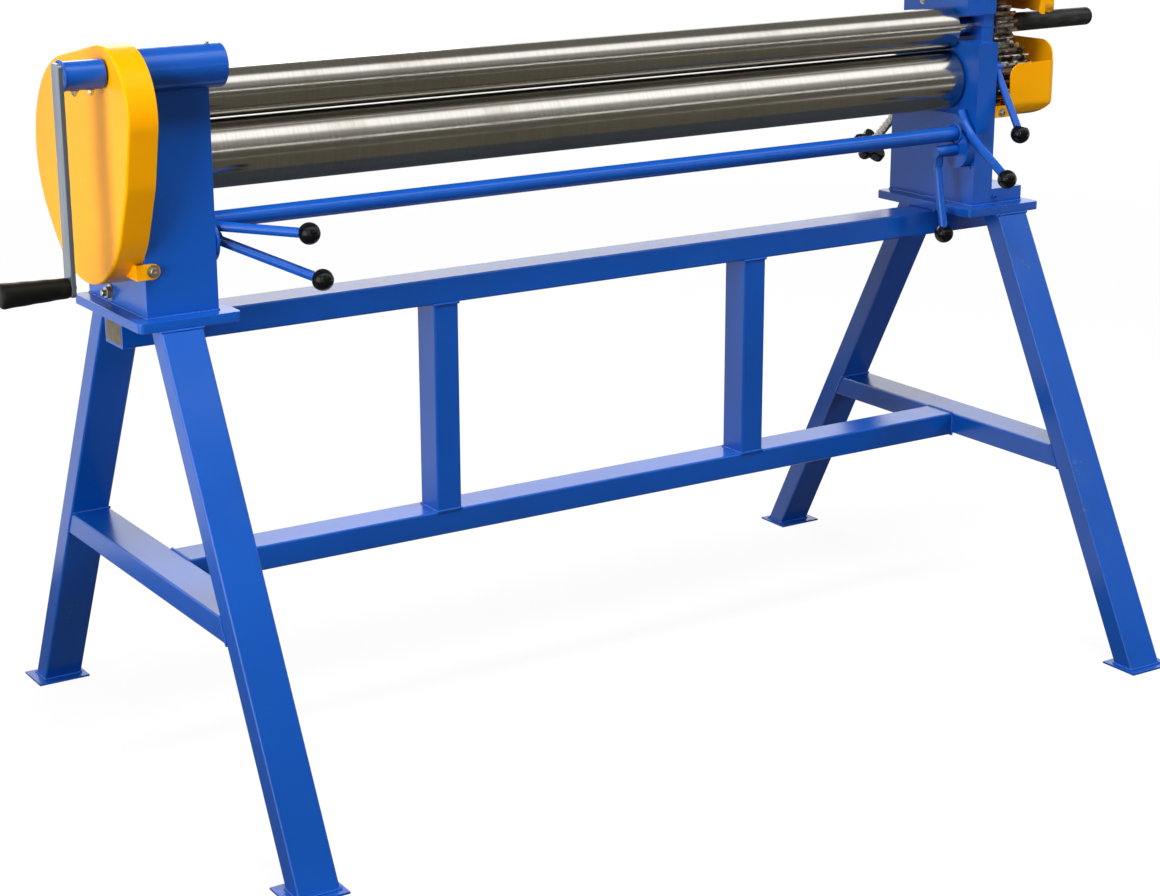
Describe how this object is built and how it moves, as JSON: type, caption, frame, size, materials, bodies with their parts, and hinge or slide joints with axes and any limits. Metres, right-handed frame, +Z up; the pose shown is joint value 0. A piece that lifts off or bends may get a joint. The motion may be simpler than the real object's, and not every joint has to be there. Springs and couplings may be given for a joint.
{
  "type": "plate rolling machine",
  "caption": "Hand-cranked slip roll on a welded stand: long steel rolls between end columns, meshing end gears, hinged yoke, crank and adjusting levers.",
  "frame": {"origin": "on the floor at the middle of the machine's footprint", "axes": "+X along the rolls from the crank end to the gear end, -Y towards the operator, +Z up"},
  "size_m": [2.248, 1.114, 1.219],
  "materials": {
    "blue_paint": "glossy enamel over welded steel, light wear at the edges",
    "orange_paint": "glossy safety enamel over sheet steel",
    "roll_steel": "ground bright steel with a fine turning grain",
    "gear_steel": "oiled dark machined steel",
    "black_plastic": "glossy black phenolic",
    "grip_rubber": "matte ribbed rubber"
  },
  "bodies": {
    "stand": {"foot_plate_front_left": "blue_paint", "foot_plate_back_left": "blue_paint", "foot_plate_front_right": "blue_paint", "foot_plate_back_right": "blue_paint", "leg_front_left": "blue_paint", "leg_back_left": "blue_paint", "leg_front_right": "blue_paint", "leg_back_right": "blue_paint", "cross_brace_left": "blue_paint", "cross_brace_right": "blue_paint", "lower_rail": "blue_paint", "upper_rail": "blue_paint", "post_left": "blue_paint", "post_right": "blue_paint", "base_plate_left": "blue_paint", "base_plate_right": "blue_paint", "column_left": "blue_paint", "column_right": "blue_paint", "crank_bearing_tube": "blue_paint", "drive_guard": "orange_paint", "gear_guard_lower": "orange_paint", "yoke_hinge_pin": "roll_steel"},
    "bottom_roll": {"bottom_roll": "roll_steel", "bottom_roll_gear": "gear_steel"},
    "top_roll": {"top_roll": "roll_steel", "top_roll_gear": "gear_steel", "lift_bar": "black_plastic"},
    "crank": {"crank_arm": "blue_paint", "crank_shaft": "roll_steel"},
    "crank_grip": {"crank_grip": "grip_rubber"},
    "rear_carriage": {"rear_bearing_left": "gear_steel", "rear_bearing_right": "gear_steel"},
    "rear_roll": {"rear_roll": "roll_steel"},
    "rear_adjuster_left": {"rear_screw_left": "roll_steel", "star_knob_left": "black_plastic"},
    "rear_adjuster_right": {"rear_screw_right": "roll_steel", "star_knob_right": "black_plastic"},
    "eccentric": {"eccentric_lever_left": "blue_paint", "eccentric_lever_right": "blue_paint", "tie_rod": "blue_paint", "ball_eccentric_left": "black_plastic", "ball_eccentric_right": "black_plastic"},
    "clamp_left": {"clamp_lever_left": "blue_paint", "ball_clamp_left": "black_plastic"},
    "clamp_right": {"clamp_lever_right": "blue_paint", "ball_clamp_right": "black_plastic"},
    "lock": {"lock_lever": "blue_paint", "ball_lock": "black_plastic"},
    "yoke": {"yoke": "blue_paint", "gear_guard_upper": "orange_paint"}
  },
  "joints": [
    {"name": "bottom_roll_turn", "type": "hinge", "parent": "stand", "child": "bottom_roll", "pos_m": [0, -0.025, 1.03], "axis": [1, 0, 0], "continuous": true},
    {"name": "top_roll_turn", "type": "hinge", "parent": "stand", "child": "top_roll", "pos_m": [0, -0.025, 1.125], "axis": [1, 0, 0], "continuous": true},
    {"name": "crank_turn", "type": "hinge", "parent": "stand", "child": "crank", "pos_m": [-0.9, -0.11, 1.179], "axis": [1, 0, 0], "continuous": true},
    {"name": "grip_turn", "type": "hinge", "parent": "crank", "child": "crank_grip", "pos_m": [-1.07, -0.11, 0.865], "axis": [1, 0, 0], "continuous": true},
    {"name": "rear_roll_shift", "type": "slide", "parent": "stand", "child": "rear_carriage", "axis": [0, -0.7193, 0.6947], "range_m": [-0.008, 0.015]},
    {"name": "rear_roll_turn", "type": "hinge", "parent": "rear_carriage", "child": "rear_roll", "pos_m": [0, 0.085, 1], "axis": [1, 0, 0], "continuous": true},
    {"name": "rear_knob_left_turn", "type": "hinge", "parent": "rear_carriage", "child": "rear_adjuster_left", "pos_m": [-0.792, 0.085, 1], "axis": [0, -0.7193, 0.6947], "continuous": true},
    {"name": "rear_knob_right_turn", "type": "hinge", "parent": "rear_carriage", "child": "rear_adjuster_right", "pos_m": [0.795, 0.085, 1], "axis": [0, -0.7193, 0.6947], "continuous": true},
    {"name": "eccentric_swing", "type": "hinge", "parent": "stand", "child": "eccentric", "pos_m": [0, -0.078, 0.905], "axis": [1, 0, 0], "range_deg": [-5, 18]},
    {"name": "clamp_left_swing", "type": "hinge", "parent": "stand", "child": "clamp_left", "pos_m": [-0.757, -0.078, 0.905], "axis": [1, 0, 0], "range_deg": [0, 45]},
    {"name": "clamp_right_swing", "type": "hinge", "parent": "stand", "child": "clamp_right", "pos_m": [0.714, -0.078, 0.905], "axis": [1, 0, 0], "range_deg": [-60, 8]},
    {"name": "lock_lever_swing", "type": "hinge", "parent": "stand", "child": "lock", "pos_m": [0.832, -0.091, 1.053], "axis": [1, 0, 0], "range_deg": [-70, 0]},
    {"name": "yoke_open", "type": "hinge", "parent": "stand", "child": "yoke", "pos_m": [0.795, 0.104, 1.128], "axis": [1, 0, 0], "range_deg": [-70, 0]}
  ],
  "couplings": [
    {"joint": "top_roll_turn", "follows": "bottom_roll_turn", "ratio": -1.375},
    {"joint": "crank_turn", "follows": "bottom_roll_turn", "ratio": -3.35},
    {"joint": "rear_knob_left_turn", "follows": "rear_roll_shift", "rad_per_m": 1570.8},
    {"joint": "rear_knob_right_turn", "follows": "rear_roll_shift", "rad_per_m": 1570.8}
  ]
}
